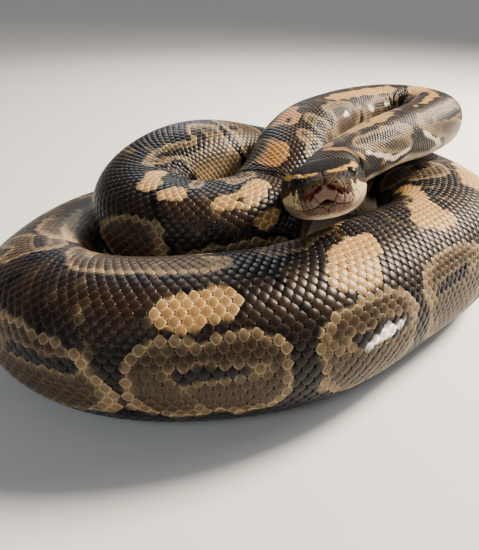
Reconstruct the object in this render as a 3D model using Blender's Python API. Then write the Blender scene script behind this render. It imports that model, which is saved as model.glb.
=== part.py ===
"""A coiled ball python, life size, lying on the floor in one heap of coils.

The snake is one closed body, parted with thin cuts into the head, the lower jaw, the two eyes,
the neck, eight lengths of trunk and the tail. The body is a round tube swept along a route that
runs from the nape to the tip of the tail: out along the neck loop, round the inner coil, and then
round the outer coil on the floor. Where the body lies on the floor its belly is pressed flat.

All sizes below are in centimetres, in the frame +X to the viewer's right, +Y away, +Z up. The
head looks along -Y. The meshes are written in metres.
"""
import math

import bmesh
import bpy
import numpy as np
from mathutils import Matrix, Vector

CM = 0.01

# --- The route of the body -------------------------------------------------------------------
# Each waypoint is (across, back, lift, radius): where the middle of the body lies seen from
# above, how far the belly is lifted off the floor there, and how thick the body is.
NECK_LOOP = [
    (3.16, 5.20, 4.46, 1.10), (3.90, 6.45, 4.80, 1.06), (5.00, 7.60, 5.02, 1.10),
    (6.50, 9.10, 5.15, 1.17), (8.10, 10.70, 5.06, 1.27), (9.45, 12.45, 4.95, 1.36),
    (10.05, 13.95, 4.80, 1.41), (9.60, 15.35, 4.72, 1.45), (8.25, 16.00, 4.70, 1.47),
    (6.80, 15.45, 4.66, 1.49), (5.50, 14.30, 4.58, 1.54), (4.30, 13.00, 4.42, 1.60),
]
INNER_COIL = [
    (3.35, 11.55, 4.25, 1.66), (2.60, 10.20, 3.72, 1.75), (2.10, 8.80, 2.97, 1.84),
    (1.25, 7.45, 2.00, 1.95), (0.30, 6.05, 1.58, 2.13), (-1.40, 5.45, 1.38, 2.20),
    (-3.10, 6.00, 1.42, 2.20), (-4.10, 7.50, 1.57, 2.20), (-3.95, 9.25, 1.95, 2.20),
    (-2.85, 10.75, 2.35, 2.20), (-1.35, 12.20, 2.30, 2.18), (0.35, 14.00, 1.60, 2.20),
    (2.50, 15.40, 0.75, 2.27),
]
OUTER_COIL = [
    (4.80, 16.30, 0.10, 2.32), (7.00, 16.25, 0.00, 2.35), (8.80, 15.10, 0.00, 2.37),
    (9.65, 13.10, 0.00, 2.40), (9.80, 9.90, 0.00, 2.50), (8.40, 6.40, 0.00, 2.55),
    (5.30, 3.40, 0.00, 2.60), (2.20, 1.00, 0.00, 2.62), (-1.20, 0.05, 0.00, 2.60),
    (-4.50, 0.40, 0.00, 2.50), (-7.00, 2.40, 0.00, 2.30), (-7.90, 5.40, 0.00, 2.00),
    (-8.00, 8.40, 0.00, 1.75), (-7.20, 11.40, 0.00, 1.56),
]
TAIL = [
    (-5.50, 13.95, 0.00, 1.38), (-3.05, 16.10, 0.00, 1.12), (-0.20, 17.85, 0.00, 0.78),
    (2.60, 19.00, 0.00, 0.42), (4.15, 19.35, 0.00, 0.16),
]
ROUTE = NECK_LOOP + INNER_COIL + OUTER_COIL + TAIL

# Where the middle of the whole heap lies on the route's own grid, so that the finished model
# stands centred on the origin.
HEAP_MIDDLE = (1.235, 8.403)

# --- The shape of the body -------------------------------------------------------------------
BODY_WIDE = 1.05        # half width of a cross-section, in radii
BODY_TALL = 0.96        # half height of a cross-section, in radii
BODY_SQUARE = 2.2       # exponent of the cross-section: 2 is an ellipse, more is squarer
REST_HEIGHT = 0.90      # height of the middle of a resting length above the floor, in radii
BODY_SIDES = 28
RING_STEP = 0.84        # distance between two rings of the mesh
CUT = 0.04              # width of the thin cuts that part the lengths
NAPE_BEND = 2.0         # the first stretch, over which the rings turn to face the head

# The lengths of the body, each by the distance from the nape at which it ends.
LENGTHS = [
    ("neck", 9.0), ("trunk_1", 17.0), ("trunk_2", 28.0), ("trunk_3", 38.5), ("trunk_4", 51.0),
    ("trunk_5", 62.0), ("trunk_6", 73.5), ("trunk_7", 83.0), ("trunk_8", 93.0), ("tail", None),
]

# --- The head --------------------------------------------------------------------------------
# Each station is (behind the snout, half width, height above the head's level line, depth below
# it). The level line runs from the notch in the upper lip straight back.
HEAD_STATIONS = [
    (0.00, 0.32, 0.44, 0.17), (0.07, 0.48, 0.56, 0.32), (0.25, 0.64, 0.67, 0.48),
    (0.60, 0.80, 0.78, 0.59), (1.00, 0.95, 0.87, 0.65), (1.45, 1.08, 0.96, 0.69),
    (2.00, 1.22, 1.05, 0.74), (2.70, 1.40, 1.14, 0.80), (3.25, 1.49, 1.19, 0.85),
    (3.75, 1.47, 1.22, 0.87), (4.25, 1.31, 1.24, 0.87), (4.90, 1.155, 1.256, 0.856),
]
# The line of the mouth: (behind the snout, height above the level line).
MOUTH_LINE = [
    (0.00, -0.02), (0.15, -0.15), (0.45, -0.24), (1.10, -0.27), (2.20, -0.20), (3.50, -0.02),
]
HEAD_WIDEST = 0.20      # height above the level line at which each section is widest
HEAD_SQUARE = 2.5
HEAD_LENGTH = HEAD_STATIONS[-1][0]
HEAD_SIDES = 32
HEAD_RINGS = 15
HEAD_TURN = -8.5        # degrees: the snout points a little to the viewer's left
HEAD_NOD = -18.0        # degrees: the snout is held up
HEAD_ROLL = -14.0       # degrees: the snake's left side is higher
JAW_BACK = 3.45         # where the corner of the mouth ends, behind the snout
JAW_FRONT = 0.04        # the lower jaw is a little shorter than the snout
JAW_SIDES = 20
JAW_TOP_SIDES = 8

EYE_RADIUS = 0.24
EYE_BEHIND = 1.32       # middle of the eye behind the snout
EYE_HEIGHT = 0.57       # above the level line
EYE_OUT = 0.82          # middle of the eye out from the head's middle
EYE_GAP = 0.035         # between the eye and its socket
EYE_SEGMENTS = 18
EYE_RINGS = 10

# --- Colours (linear RGB), roughness ------------------------------------------------------------
DARK_BROWN = (0.030, 0.019, 0.012)
HEAD_GREY = (0.19, 0.15, 0.115)
LIP_CREAM = (0.52, 0.45, 0.37)
EYE_BLACK = (0.012, 0.010, 0.009)
SCALE_ROUGHNESS = 0.38
EYE_ROUGHNESS = 0.08


def clear_scene():
    for thing in list(bpy.data.objects):
        bpy.data.objects.remove(thing, do_unlink=True)


def make_material(name, colour, roughness):
    material = bpy.data.materials.new(name)
    material.use_nodes = True
    shader = material.node_tree.nodes["Principled BSDF"]
    shader.inputs["Base Color"].default_value = (*colour, 1.0)
    shader.inputs["Roughness"].default_value = roughness
    shader.inputs["Metallic"].default_value = 0.0
    material.diffuse_color = (*colour, 1.0)
    return material


def make_object(name, vertices, faces, material):
    """One smooth-shaded piece from vertices in centimetres."""
    mesh = bpy.data.meshes.new(name)
    mesh.from_pydata([tuple(CM * c for c in v) for v in vertices], [], faces)
    mesh.validate()
    tidy = bmesh.new()
    tidy.from_mesh(mesh)
    bmesh.ops.recalc_face_normals(tidy, faces=tidy.faces)
    tidy.to_mesh(mesh)
    tidy.free()
    mesh.shade_smooth()
    mesh.set_sharp_from_angle(angle=math.radians(50))
    mesh.materials.append(material)
    piece = bpy.data.objects.new(name, mesh)
    bpy.context.scene.collection.objects.link(piece)
    return piece


def natural_spline(knots, values, at):
    """Values on the natural cubic spline through the knots, at the given places."""
    knots = np.asarray(knots, float)
    values = np.asarray(values, float)
    count = len(knots)
    step = np.diff(knots)
    matrix = np.eye(count)
    right = np.zeros_like(values)
    for i in range(1, count - 1):
        matrix[i, i - 1:i + 2] = step[i - 1], 2 * (step[i - 1] + step[i]), step[i]
        right[i] = 6 * ((values[i + 1] - values[i]) / step[i]
                        - (values[i] - values[i - 1]) / step[i - 1])
    bend = np.linalg.solve(matrix, right)
    i = np.clip(np.searchsorted(knots, at, side="right") - 1, 0, count - 2)
    h = step[i][:, None]
    a = (knots[i + 1] - at)[:, None]
    b = (at - knots[i])[:, None]
    return ((bend[i] * a ** 3 + bend[i + 1] * b ** 3) / (6 * h)
            + (values[i] / h - bend[i] * h / 6) * a
            + (values[i + 1] / h - bend[i + 1] * h / 6) * b)


def head_turn():
    """The turn of the head from its own frame, where it looks along -Y, to the world."""
    return (Matrix.Rotation(math.radians(HEAD_TURN), 3, "Z")
            @ Matrix.Rotation(math.radians(HEAD_NOD), 3, "X")
            @ Matrix.Rotation(math.radians(HEAD_ROLL), 3, "Y"))


class Body:
    """The swept body: its middle line, radius and directions at any distance from the nape."""

    def __init__(self):
        points = np.array(ROUTE)
        points[:, 0] -= HEAP_MIDDLE[0]
        points[:, 1] -= HEAP_MIDDLE[1]
        hops = np.linalg.norm(np.diff(points[:, :3], axis=0), axis=1)
        knots = np.concatenate([[0.0], np.cumsum(hops)])
        fine = natural_spline(knots, points, np.linspace(0.0, knots[-1], 4000))
        radius = fine[:, 3]
        lift = np.maximum(fine[:, 2], 0.0)
        self.middle = np.column_stack([fine[:, 0], fine[:, 1], lift + REST_HEIGHT * radius])
        self.radius = radius
        hops = np.linalg.norm(np.diff(self.middle, axis=0), axis=1)
        self.distance = np.concatenate([[0.0], np.cumsum(hops)])
        ahead = np.gradient(self.middle, axis=0)
        ahead /= np.linalg.norm(ahead, axis=1)[:, None]
        share = np.clip(self.distance / NAPE_BEND, 0.0, 1.0)[:, None]
        share = share * share * (3.0 - 2.0 * share)
        ahead = ahead * share + np.array(head_turn().col[1]) * (1.0 - share)
        self.ahead = ahead / np.linalg.norm(ahead, axis=1)[:, None]
        self.length = self.distance[-1]

    def at(self, distance):
        """Middle, radius and the ahead, side and up directions of the cross-section there."""
        def pick(values):
            return np.array([np.interp(distance, self.distance, c) for c in values.T])
        ahead = pick(self.ahead)
        side = np.cross(ahead, (0.0, 0.0, 1.0))
        side /= np.linalg.norm(side)
        up = np.cross(side, ahead)
        radius = np.interp(distance, self.distance, self.radius)
        return pick(self.middle), radius, ahead, side, up

    def ring(self, distance, slide=0.0):
        """The outline of the body there, pressed flat where it would pass the floor.

        A slide moves it straight ahead, so that both faces of a cut are parallel.
        """
        middle, radius, ahead, side, up = self.at(distance)
        middle = middle + slide * ahead
        outline = []
        for k in range(BODY_SIDES):
            across, above = squircle(2 * math.pi * k / BODY_SIDES, BODY_SQUARE)
            point = middle + radius * (BODY_WIDE * across * side + BODY_TALL * above * up)
            point[2] = max(point[2], 0.0)
            outline.append(point)
        return outline


def squircle(angle, exponent):
    """A point of the unit superellipse in the direction of the angle."""
    c, s = math.cos(angle), math.sin(angle)
    reach = (abs(c) ** exponent + abs(s) ** exponent) ** (-1.0 / exponent)
    return reach * c, reach * s


def loft(rings):
    """Vertices and faces of a closed skin over rings of equal count, with fans at both ends."""
    count = len(rings[0])
    vertices = [point for ring in rings for point in ring]
    faces = []
    for r in range(len(rings) - 1):
        for k in range(count):
            n = (k + 1) % count
            low, high = r * count, (r + 1) * count
            faces.append((low + k, low + n, high + n, high + k))
    for ring, start in ((rings[0], 0), (rings[-1], (len(rings) - 1) * count)):
        hub = len(vertices)
        vertices.append(np.mean(ring, axis=0))
        for k in range(count):
            faces.append((hub, start + k, start + (k + 1) % count))
    return vertices, faces


def make_body(body, material):
    """The neck, the lengths of trunk and the tail, each between two thin cuts."""
    start = 0.0
    for name, end in LENGTHS:
        end = end or body.length
        count = math.ceil((end - start) / RING_STEP) + 1
        slides = [CUT / 2] + [0.0] * (count - 2) + [-CUT / 2]
        rings = [body.ring(d, slide) for d, slide in zip(np.linspace(start, end, count), slides)]
        make_object(name, *loft(rings), material)
        start = end


def head_frame(body):
    """The turn of the head, and the place of its snout in the world, in centimetres."""
    turn = head_turn()
    nape = Vector(body.middle[0])
    snout = nape - turn @ Vector((0.0, HEAD_LENGTH, HEAD_WIDEST))
    return turn, snout


def head_size(behind):
    """Half width, height above the level line and depth below it, at a distance."""
    stations = np.array(HEAD_STATIONS)
    return natural_spline(stations[:, 0], stations[:, 1:], np.array([behind]))[0]


def head_ring(behind):
    """The outline of the head in its own frame, (across, behind, above the level line)."""
    wide, tall, deep = head_size(behind)
    outline = []
    for k in range(HEAD_SIDES):
        across, above = squircle(2 * math.pi * k / HEAD_SIDES, HEAD_SQUARE)
        reach = tall - HEAD_WIDEST if above > 0 else deep + HEAD_WIDEST
        outline.append([wide * across, behind, HEAD_WIDEST + reach * above])
    return outline


def mouth_height(behind):
    """Height of the line of the mouth above the level line."""
    line = np.array(MOUTH_LINE)
    return natural_spline(line[:, 0], line[:, 1:], np.array([behind]))[0, 0]


def jaw_ring(behind):
    """The outline of the lower jaw: the head's outline below the mouth, closed straight across."""
    wide, _, deep = head_size(behind)
    reach = deep + HEAD_WIDEST
    lip = mouth_height(behind) - CUT / 2
    above = (lip - HEAD_WIDEST) / reach
    across = (1.0 - abs(above) ** HEAD_SQUARE) ** (1.0 / HEAD_SQUARE)
    first = math.atan2(above, across)
    outline = []
    for k in range(JAW_SIDES + 1):
        x, z = squircle(first - (math.pi + 2 * first) * k / JAW_SIDES, HEAD_SQUARE)
        outline.append([wide * x, behind, HEAD_WIDEST + reach * z])
    for k in range(1, JAW_TOP_SIDES):
        outline.append([wide * across * (2 * k / JAW_TOP_SIDES - 1), behind, lip])
    return outline


def head_distances(first, last, count):
    """Distances behind the snout, closer together at the blunt front."""
    return [first + (last - first) * (k / (count - 1)) ** 1.7 for k in range(count)]


def placed(rings, frame):
    turn, snout = frame
    return [[np.array(snout + turn @ Vector(point)) for point in ring] for ring in rings]


def make_head(frame, material):
    """The head with its upper jaw: whole behind the mouth, flat below along the mouth."""
    rings = []
    for behind in head_distances(0.0, JAW_BACK + CUT, HEAD_RINGS - 4):
        lip = mouth_height(behind) + CUT / 2
        rings.append([[x, y, max(z, lip)] for x, y, z in head_ring(behind)])
    for behind in np.linspace(JAW_BACK + CUT, HEAD_LENGTH - CUT / 2, 5):
        rings.append(head_ring(behind))
    return make_object("head", *loft(placed(rings, frame)), material)


def make_lower_jaw(frame, material):
    rings = []
    for behind in head_distances(JAW_FRONT, JAW_BACK, HEAD_RINGS - 5):
        rings.append(jaw_ring(behind))
    make_object("lower_jaw", *loft(placed(rings, frame)), material)


def make_eye(name, side, frame, radius, material):
    """A ball at the eye's place. Side is 1 for the snake's left and -1 for its right."""
    turn, snout = frame
    place = snout + turn @ Vector((side * EYE_OUT, EYE_BEHIND, EYE_HEIGHT))
    mesh = bpy.data.meshes.new(name)
    ball = bmesh.new()
    bmesh.ops.create_uvsphere(ball, u_segments=EYE_SEGMENTS, v_segments=EYE_RINGS,
                              radius=CM * radius)
    bmesh.ops.translate(ball, verts=ball.verts, vec=CM * place)
    ball.to_mesh(mesh)
    ball.free()
    mesh.shade_smooth()
    mesh.materials.append(material)
    eye = bpy.data.objects.new(name, mesh)
    bpy.context.scene.collection.objects.link(eye)
    return eye


def cut_socket(head, name, side, frame, material):
    """A round socket for the eye, a little wider than the eye itself."""
    cutter = make_eye(name, side, frame, EYE_RADIUS + EYE_GAP, material)
    cutter.hide_render = True
    cutter.display_type = "WIRE"
    cut = head.modifiers.new(name, "BOOLEAN")
    cut.operation = "DIFFERENCE"
    cut.solver = "EXACT"
    cut.object = cutter


def main():
    clear_scene()
    skin = make_material("python_skin", DARK_BROWN, SCALE_ROUGHNESS)
    crown = make_material("python_head", HEAD_GREY, SCALE_ROUGHNESS)
    lips = make_material("python_lips", LIP_CREAM, SCALE_ROUGHNESS)
    eye = make_material("python_eye", EYE_BLACK, EYE_ROUGHNESS)
    body = Body()
    make_body(body, skin)
    frame = head_frame(body)
    head = make_head(frame, crown)
    make_lower_jaw(frame, lips)
    for word, side in (("left", 1), ("right", -1)):
        make_eye("eye_" + word, side, frame, EYE_RADIUS, eye)
        cut_socket(head, "socket_" + word, side, frame, eye)


main()
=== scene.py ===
"""The looks of a coiled ball python: skin, scales, head, eyes, camera and soft studio light.

The body follows the same route as the solids. One skin runs from the snout to the tip of the tail
and takes the place of every node of flesh; solid scales lie over it. Sizes are in centimetres on
the snake's own coordinates: how far behind the nape (s), and how far round the body (degrees).
"""
import math

import bpy
import numpy as np
from mathutils import Matrix, Vector


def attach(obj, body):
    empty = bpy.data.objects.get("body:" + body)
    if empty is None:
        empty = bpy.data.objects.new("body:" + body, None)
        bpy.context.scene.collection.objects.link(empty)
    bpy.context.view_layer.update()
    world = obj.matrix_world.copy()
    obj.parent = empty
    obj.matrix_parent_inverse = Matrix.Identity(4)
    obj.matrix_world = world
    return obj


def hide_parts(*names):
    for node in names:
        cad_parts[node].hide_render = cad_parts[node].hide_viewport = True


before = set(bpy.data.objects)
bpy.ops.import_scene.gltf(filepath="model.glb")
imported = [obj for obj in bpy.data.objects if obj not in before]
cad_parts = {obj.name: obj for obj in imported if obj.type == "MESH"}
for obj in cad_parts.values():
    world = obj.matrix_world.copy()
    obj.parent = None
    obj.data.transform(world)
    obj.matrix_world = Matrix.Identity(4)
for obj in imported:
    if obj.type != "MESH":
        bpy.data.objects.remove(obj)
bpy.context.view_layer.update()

CM = 0.01

# --- The route of the body, as in the solids: (across, back, lift of the belly, radius)
NECK_LOOP = [
    (3.16, 5.20, 4.46, 1.10), (3.90, 6.45, 4.80, 1.06), (5.00, 7.60, 5.02, 1.10),
    (6.50, 9.10, 5.15, 1.17), (8.10, 10.70, 5.06, 1.27), (9.45, 12.45, 4.95, 1.36),
    (10.05, 13.95, 4.80, 1.41), (9.60, 15.35, 4.72, 1.45), (8.25, 16.00, 4.70, 1.47),
    (6.80, 15.45, 4.66, 1.49), (5.50, 14.30, 4.58, 1.54), (4.30, 13.00, 4.42, 1.60),
]
INNER_COIL = [
    (3.35, 11.55, 4.25, 1.66), (2.60, 10.20, 3.72, 1.75), (2.10, 8.80, 2.97, 1.84),
    (1.25, 7.45, 2.00, 1.95), (0.30, 6.05, 1.58, 2.13), (-1.40, 5.45, 1.38, 2.20),
    (-3.10, 6.00, 1.42, 2.20), (-4.10, 7.50, 1.57, 2.20), (-3.95, 9.25, 1.95, 2.20),
    (-2.85, 10.75, 2.35, 2.20), (-1.35, 12.20, 2.30, 2.18), (0.35, 14.00, 1.60, 2.20),
    (2.50, 15.40, 0.75, 2.27),
]
OUTER_COIL = [
    (4.80, 16.30, 0.10, 2.32), (7.00, 16.25, 0.00, 2.35), (8.80, 15.10, 0.00, 2.37),
    (9.65, 13.10, 0.00, 2.40), (9.80, 9.90, 0.00, 2.50), (8.40, 6.40, 0.00, 2.55),
    (5.30, 3.40, 0.00, 2.60), (2.20, 1.00, 0.00, 2.62), (-1.20, 0.05, 0.00, 2.60),
    (-4.50, 0.40, 0.00, 2.50), (-7.00, 2.40, 0.00, 2.30), (-7.90, 5.40, 0.00, 2.00),
    (-8.00, 8.40, 0.00, 1.75), (-7.20, 11.40, 0.00, 1.56),
]
TAIL = [
    (-5.50, 13.95, 0.00, 1.38), (-3.05, 16.10, 0.00, 1.12), (-0.20, 17.85, 0.00, 0.78),
    (2.60, 19.00, 0.00, 0.42), (4.15, 19.35, 0.00, 0.16),
]
ROUTE = NECK_LOOP + INNER_COIL + OUTER_COIL + TAIL
HEAP_MIDDLE = (1.235, 8.403)
BODY_WIDE, BODY_TALL = 1.05, 0.96      # half the width and height, in radii
BODY_SQUARE = 2.2                      # the exponent of its outline
REST_HEIGHT = 0.90                     # of its middle over the lift, in radii
NAPE_BEND = 2.0                        # the neck turns into the head's direction over this length

# --- The head, as in the solids: (behind the snout, half width, height, depth)
HEAD_STATIONS = [
    (0.00, 0.32, 0.44, 0.17), (0.07, 0.48, 0.56, 0.32), (0.25, 0.64, 0.67, 0.48),
    (0.60, 0.80, 0.78, 0.59), (1.00, 0.95, 0.87, 0.65), (1.45, 1.08, 0.96, 0.69),
    (2.00, 1.22, 1.05, 0.74), (2.70, 1.40, 1.14, 0.80), (3.25, 1.49, 1.19, 0.85),
    (3.75, 1.47, 1.22, 0.87), (4.25, 1.31, 1.24, 0.87), (4.90, 1.155, 1.256, 0.856),
]
HEAD_WIDEST = 0.20              # the height at which the head is widest
HEAD_SQUARE = 2.5
HEAD_ROUNDING = (3.4, 4.9)      # where its squarer outline turns into the body's
NAPE_HALF = 0.45                # half the stretch over which the two shapes run together
HEAD_LENGTH = HEAD_STATIONS[-1][0]
HEAD_TURN, HEAD_NOD, HEAD_ROLL = -8.5, -18.0, -14.0
EYE_RADIUS = 0.24
EYE_PLACE = (0.82, 1.32, 0.57)  # (to the left, behind the snout, up)

# The middle of the back, in degrees up from level on the snake's left side, as (behind the nape,
# angle): the body rolls as it goes round its coils.
BACK_LINE = [
    (-5, 104), (0, 104), (4, 98), (9, 94), (14, 92), (20, 90), (23, 94), (26, 112), (29, 134),
    (32, 140), (36, 128), (41, 122), (50, 120), (58, 121), (65, 126), (72, 127), (80, 128),
    (88, 120), (96, 98), (103, 90),
]

# Creases across the skin on the inside of the bends: how far apart, and how deep
FOLD_STEP, FOLD_DEPTH = 0.62, 0.055

# --- The coat
COAT_DEPTH = 0.050       # the skin lies this far inside the solids
HEAD_DEPTH = 0.010       # and this far on the head
COAT_START = -1.05       # the first scales lie on the back of the head
SCALE_PITCH = 0.119      # length of a scale along the body, in radii
NECK_PITCH = 0.145       # the same on the neck and tail
NECK_LONGEST, SHORTEST = 0.20, 0.07
SCALE_ROWS = [(84.0, 53), (90.0, 45), (96.0, 33), (100.2, 23), (102.6, 13)]
BELLY_HALF = 33.0        # half width of the belly plates, in degrees
# The pieces of scales, and how far behind the nape each ends. All but the first are nodes' names.
PIECES = [
    ("nape", 3.4), ("neck", 8.2), ("trunk_1", 16.6), ("trunk_2", 28.0), ("trunk_3", 38.5),
    ("trunk_4", 51.0), ("trunk_5", 62.0), ("trunk_6", 73.5), ("trunk_7", 83.0),
    ("trunk_8", 93.0), ("tail", 102.6),
]
FLESH = ["head", "lower_jaw"] + [name for name, _ in PIECES[1:]]


def curve(rows, at):
    """Values on the natural cubic spline through rows of (place, values), at the given places."""
    rows = np.array(rows, float)
    knots, values = rows[:, 0], rows[:, 1:]
    count = len(rows)
    step = np.diff(knots)
    matrix = np.eye(count)
    right = np.zeros_like(values)
    for i in range(1, count - 1):
        matrix[i, i - 1:i + 2] = step[i - 1], 2 * (step[i - 1] + step[i]), step[i]
        right[i] = 6 * ((values[i + 1] - values[i]) / step[i]
                        - (values[i] - values[i - 1]) / step[i - 1])
    bend = np.linalg.solve(matrix, right)
    i = np.clip(np.searchsorted(knots, at, side="right") - 1, 0, count - 2)
    h = step[i][:, None]
    a = (knots[i + 1] - at)[:, None]
    b = (at - knots[i])[:, None]
    return ((bend[i] * a ** 3 + bend[i + 1] * b ** 3) / (6 * h)
            + (values[i] / h - bend[i] * h / 6) * a
            + (values[i + 1] / h - bend[i + 1] * h / 6) * b)


def smooth(low, high, value):
    """A soft step from 0 at low to 1 at high."""
    share = np.clip((value - low) / (high - low), 0.0, 1.0)
    return share * share * (3.0 - 2.0 * share)


def fade(low, high, value):
    """A soft step from 1 at low to 0 at high."""
    return 1.0 - smooth(low, high, value)


def hill(value, width):
    """1 where the value is 0, and next to nothing two widths away."""
    return np.exp(-(value / width) ** 2)


def unit(vectors):
    """The same directions at length 1."""
    return vectors / np.maximum(np.linalg.norm(vectors, axis=-1), 1e-9)[..., None]


def sideways(back):
    """The level direction to the snake's left, from the direction back along it."""
    return unit(np.stack([back[..., 1], -back[..., 0], np.zeros_like(back[..., 0])], -1))


def above_floor(points):
    """The points with none of them left below the floor."""
    points[..., 2] = np.maximum(points[..., 2], 0.0)
    return points


def distances(points):
    """How far along the line through the points each one is."""
    hops = np.linalg.norm(np.diff(points, axis=0), axis=1)
    return np.concatenate([[0.0], np.cumsum(hops)])


def squircle(angle, exponent):
    """A point on a rounded outline: exponent 2 gives a circle, and more is squarer."""
    c, s = np.cos(angle), np.sin(angle)
    reach = (np.abs(c) ** exponent + np.abs(s) ** exponent) ** (-1.0 / exponent)
    return reach * c, reach * s


# --- The shape of the snake
def make_head_turn():
    return np.array(Matrix.Rotation(math.radians(HEAD_TURN), 3, "Z")
                    @ Matrix.Rotation(math.radians(HEAD_NOD), 3, "X")
                    @ Matrix.Rotation(math.radians(HEAD_ROLL), 3, "Y"))


HEAD_AXES = make_head_turn()      # its columns are the head's left, back and up


class Body:
    """The swept body and the head on one pair of coordinates: s behind the nape, and phi round
    from the middle of the back, in degrees, towards the snake's right side."""

    def __init__(self):
        points = np.array(ROUTE)
        points[:, :2] -= HEAP_MIDDLE
        knots = distances(points[:, :3])
        fine = curve(np.column_stack([knots, points]), np.linspace(0.0, knots[-1], 4000))
        radius = fine[:, 3]
        lift = np.maximum(fine[:, 2], 0.0)
        middle = np.column_stack([fine[:, 0], fine[:, 1], lift + REST_HEIGHT * radius])
        self.distance = distances(middle)
        back = unit(np.gradient(middle, axis=0))
        share = smooth(0.0, NAPE_BEND, self.distance)[:, None]
        back = unit(back * share + HEAD_AXES[:, 1] * (1.0 - share))
        self.columns = np.column_stack([middle, radius, back])
        self.length = self.distance[-1]
        self.snout = middle[0] - HEAD_AXES @ np.array([0.0, HEAD_LENGTH, HEAD_WIDEST])
        self.head_at = np.linspace(0.0, HEAD_LENGTH, 800)
        self.head_sizes = curve(HEAD_STATIONS, self.head_at)
        self.back_at = np.linspace(BACK_LINE[0][0], BACK_LINE[-1][0], 2000)
        self.back_turn = curve(BACK_LINE, self.back_at)[:, 0]
        # How hard the body bends at each place, to its left and upwards
        change = np.gradient(back, self.distance, axis=0)
        side = sideways(back)
        self.bend = np.column_stack([(change * side).sum(1),
                                     (change * np.cross(side, back)).sum(1)])
        self.bend *= self.columns[:, 3:4]

    def fold_depth(self, s, phi):
        """Shallow creases across the body on the inside of its bends."""
        across, above = [np.interp(s, self.distance, bend) for bend in self.bend.T]
        turn = np.radians(self.back_line(s) + phi)
        inside = across * np.cos(turn) + above * np.sin(turn)
        crease = 0.5 + 0.5 * np.cos(2 * np.pi * s / FOLD_STEP + 2.5 * np.sin(0.05 * phi + s))
        return FOLD_DEPTH * smooth(0.16, 0.55, inside) * crease ** 1.5 * smooth(0.6, 1.6, s)

    def back_line(self, s):
        return np.interp(s, self.back_at, self.back_turn)

    def radius(self, s):
        return np.interp(s, self.distance, self.columns[:, 3])

    def trunk_point(self, s, phi):
        """A point of the swept body; past its ends it runs straight on."""
        held = np.clip(s, 0.0, self.length)
        x, y, z, radius, *back = [np.interp(held, self.distance, c) for c in self.columns.T]
        back = unit(np.stack(back, -1))
        middle = np.stack([x, y, z], -1) + back * (s - held)[..., None]
        side = sideways(back)
        across, above = squircle(np.radians(self.back_line(s) + phi), BODY_SQUARE)
        point = middle + (BODY_WIDE * radius * across)[..., None] * side
        point += (BODY_TALL * radius * above)[..., None] * np.cross(side, back)
        return above_floor(point)

    def head_local(self, behind, phi):
        """A point of the head in its own frame: (left, back, up) from the snout."""
        held = np.clip(behind, 0.0, HEAD_LENGTH)
        wide, tall, deep = [np.interp(held, self.head_at, c) for c in self.head_sizes.T]
        square = BODY_SQUARE + (HEAD_SQUARE - BODY_SQUARE) * fade(*HEAD_ROUNDING, held)
        across, above = squircle(np.radians(90.0 + phi), square)
        reach = np.where(above > 0, tall - HEAD_WIDEST, deep + HEAD_WIDEST)
        return np.stack([wide * across, behind, HEAD_WIDEST + reach * above], -1)

    def to_world(self, local):
        return self.snout + local @ HEAD_AXES.T

    def to_head(self, world):
        return (world - self.snout) @ HEAD_AXES

    def point(self, s, phi):
        """A point on the outside of the snake, where head and body run together."""
        share = smooth(-NAPE_HALF, NAPE_HALF, s)[..., None]
        head = self.to_world(self.head_local(s + HEAD_LENGTH, phi))
        return head * (1.0 - share) + self.trunk_point(s, phi) * share

    def point_and_normal(self, s, phi):
        """A point of the creased outside, and the way out from it."""
        here = self.point(s, phi)
        along = self.point(s + 0.03, phi) - self.point(s - 0.03, phi)
        around = self.point(s, phi + 1.0) - self.point(s, phi - 1.0)
        normal = unit(np.cross(along, around))
        return here - self.fold_depth(s, phi)[..., None] * normal, normal


body = Body()


# --- Meshes
def add_object(name, data):
    """A new object of the scene."""
    thing = bpy.data.objects.new(name, data)
    bpy.context.scene.collection.objects.link(thing)
    return thing


def make_mesh(name, points, faces, material, colours, uv=None, values=None):
    """A smooth mesh object from points in centimetres. Faces is a list of equal-sided arrays."""
    mesh = bpy.data.meshes.new(name)
    mesh.vertices.add(len(points))
    mesh.vertices.foreach_set("co", (np.asarray(points) * CM).astype(np.float32).ravel())
    corners = np.concatenate([f.ravel() for f in faces]).astype(np.int32)
    sizes = np.concatenate([np.full(len(f), f.shape[1]) for f in faces])
    starts = np.concatenate([[0], np.cumsum(sizes)[:-1]]).astype(np.int32)
    mesh.loops.add(len(corners))
    mesh.loops.foreach_set("vertex_index", corners)
    mesh.polygons.add(len(sizes))
    mesh.polygons.foreach_set("loop_start", starts)
    mesh.update(calc_edges=True)
    mesh.validate()
    mesh.shade_smooth()
    layer = mesh.color_attributes.new("markings", "FLOAT_COLOR", "POINT")
    full = np.ones((len(points), 4), np.float32)
    full[:, :3] = colours
    layer.data.foreach_set("color", full.ravel())
    if uv is not None:
        # A face over the seam under the belly reaches from the last side on to 1, not back to 0.
        spots = uv[corners]
        top = np.maximum.reduceat(spots[:, 1], starts)[np.repeat(np.arange(len(sizes)), sizes)]
        spots[(top - spots[:, 1] > 0.5) & (spots[:, 1] == 0.0), 1] = 1.0
        layer = mesh.uv_layers.new(name="OFBake")
        layer.data.foreach_set("uv", spots.astype(np.float32).ravel())
    for key, numbers in (values or {}).items():
        layer = mesh.attributes.new(key, "FLOAT", "POINT")
        layer.data.foreach_set("value", numbers.astype(np.float32))
    mesh.materials.append(material)
    return add_object(name, mesh)


def repeat_faces(faces, count, stride):
    """The faces of one stamp, again for each of its copies."""
    offset = (np.arange(count) * stride)[:, None, None]
    return [(f[None] + offset).reshape(-1, f.shape[1]) for f in faces]


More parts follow.
